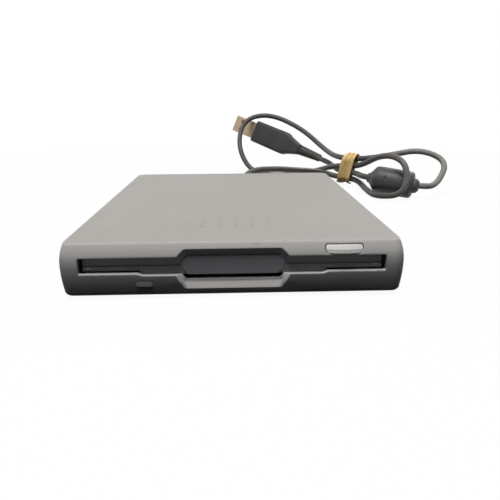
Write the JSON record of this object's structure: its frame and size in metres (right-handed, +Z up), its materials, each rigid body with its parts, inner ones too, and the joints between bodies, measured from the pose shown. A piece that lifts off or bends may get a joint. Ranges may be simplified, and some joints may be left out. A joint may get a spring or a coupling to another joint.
{
  "type": "external floppy disk drive",
  "caption": "Slim external drive for 3.5-inch diskettes with a sprung dust flap, eject button, status lamp and a captive USB lead with a ferrite sleeve.",
  "frame": {"origin": "centre of the case's footprint, on the surface the feet stand on", "axes": "+Z up, +X to the right and -Y towards the person in front, who sees the disk slot"},
  "size_m": [0.1813, 0.2808, 0.0452],
  "materials": {
    "cover_grey": "fine satin texture",
    "base_grey": "fine satin texture",
    "bezel_silver": "satin metallic paint",
    "button_silver": "satin",
    "flap_black": "satin",
    "foot_rubber": "matte",
    "lamp_lens": "frosted",
    "zinc_steel": "zinc plated",
    "ground_steel": "ground",
    "spring_steel": "drawn wire",
    "coil_copper": "enamelled wire",
    "bearing_brass": "sintered",
    "magnet_black": "bonded magnet",
    "ferrite": "sintered",
    "head_ceramic": "lapped",
    "white_acetal": "moulded",
    "black_plastic": "moulded",
    "circuit_board": "solder mask",
    "chip_black": "moulded",
    "wire_red": "extruded",
    "cord_grey": "satin",
    "sleeve_black": "moulded",
    "plug_grey": "moulded",
    "plug_steel": "nickel plated",
    "gilt_contacts": "gold plated",
    "band_yellow": "natural latex"
  },
  "bodies": {
    "case": {"top_cover": "cover_grey", "bottom_cover": "base_grey", "front_bezel": "bezel_silver", "rubber_feet": "foot_rubber", "case_screws": "zinc_steel", "flap_spring": "spring_steel", "activity_lamp_lens": "lamp_lens", "activity_led": "lamp_lens", "lamp_board": "circuit_board", "drive_tray": "zinc_steel", "drive_lid": "zinc_steel", "tray_screws": "zinc_steel", "eject_springs": "spring_steel", "spring_posts": "zinc_steel", "stator_board": "circuit_board", "stator_coils": "coil_copper", "spindle_bearing": "bearing_brass", "guide_rod": "ground_steel", "rod_clamps": "black_plastic", "screw_bracket": "zinc_steel", "stepper_motor": "zinc_steel", "track_zero_sensor": "black_plastic", "logic_board": "circuit_board", "board_chips": "chip_black", "board_parts": "chip_black", "usb_header": "white_acetal", "sensor_switches": "black_plastic", "inner_wires": "wire_red", "cord_gland": "cord_grey", "usb_cord": "cord_grey", "ferrite_sleeve": "sleeve_black", "ferrite_core": "ferrite", "rubber_band": "band_yellow", "plug_relief": "cord_grey", "plug_body": "plug_grey", "plug_shell": "plug_steel", "plug_tongue": "white_acetal", "plug_contacts": "gilt_contacts"},
    "dust_flap": {"dust_flap": "flap_black"},
    "eject_slide": {"eject_button": "button_silver", "eject_plate": "zinc_steel", "slide_straps": "zinc_steel"},
    "holder": {"cartridge_holder": "zinc_steel"},
    "shutter_lever": {"shutter_lever": "zinc_steel"},
    "spindle": {"spindle_shaft": "ground_steel", "spindle_rotor": "zinc_steel", "magnet_ring": "magnet_black", "spindle_hub": "ground_steel", "drive_pin": "white_acetal"},
    "carriage": {"head_carriage": "black_plastic", "lower_head": "head_ceramic", "head_arm_pin": "ground_steel"},
    "upper_arm": {"upper_head_arm": "zinc_steel", "upper_head": "head_ceramic"},
    "lead_screw": {"lead_screw": "ground_steel"}
  },
  "joints": [
    {"name": "flap_hinge", "type": "hinge", "parent": "case", "child": "dust_flap", "pos_m": [0, -0.0675, 0.0139], "axis": [1, 0, 0], "range_deg": [0, 88], "stiffness_Nm_per_rad": 0.0003, "springref_deg": -5.73},
    {"name": "eject_slide", "type": "slide", "parent": "case", "child": "eject_slide", "axis": [0, -1, 0], "range_m": [0, 0.0045], "deforming": ["eject_springs"]},
    {"name": "holder_drop", "type": "slide", "parent": "case", "child": "holder", "axis": [0, 0, -1], "range_m": [0, 0.0028]},
    {"name": "shutter_lever_hinge", "type": "hinge", "parent": "holder", "child": "shutter_lever", "pos_m": [-0.036, 0.022, 0.0137], "axis": [0, 0, 1], "range_deg": [0, 43], "stiffness_Nm_per_rad": 0.002, "springref_deg": -5.73},
    {"name": "spindle_spin", "type": "hinge", "parent": "case", "child": "spindle", "pos_m": [0, -0.02, 0.005], "axis": [0, 0, 1], "continuous": true},
    {"name": "head_slide", "type": "slide", "parent": "case", "child": "carriage", "axis": [0, -1, 0], "range_m": [0, 0.0148]},
    {"name": "screw_spin", "type": "hinge", "parent": "case", "child": "lead_screw", "pos_m": [0.017, 0.04, 0.0089], "axis": [0, 1, 0], "range_deg": [0, 1776]},
    {"name": "head_arm_hinge", "type": "hinge", "parent": "carriage", "child": "upper_arm", "pos_m": [0, 0.046, 0.0136], "axis": [1, 0, 0], "range_deg": [0, 9.75]}
  ],
  "couplings": [
    {"joint": "holder_drop", "follows": "eject_slide", "ratio": 0.62222},
    {"joint": "head_arm_hinge", "follows": "eject_slide", "rad_per_m": 37.6},
    {"joint": "screw_spin", "follows": "head_slide", "rad_per_m": 2094.4}
  ]
}
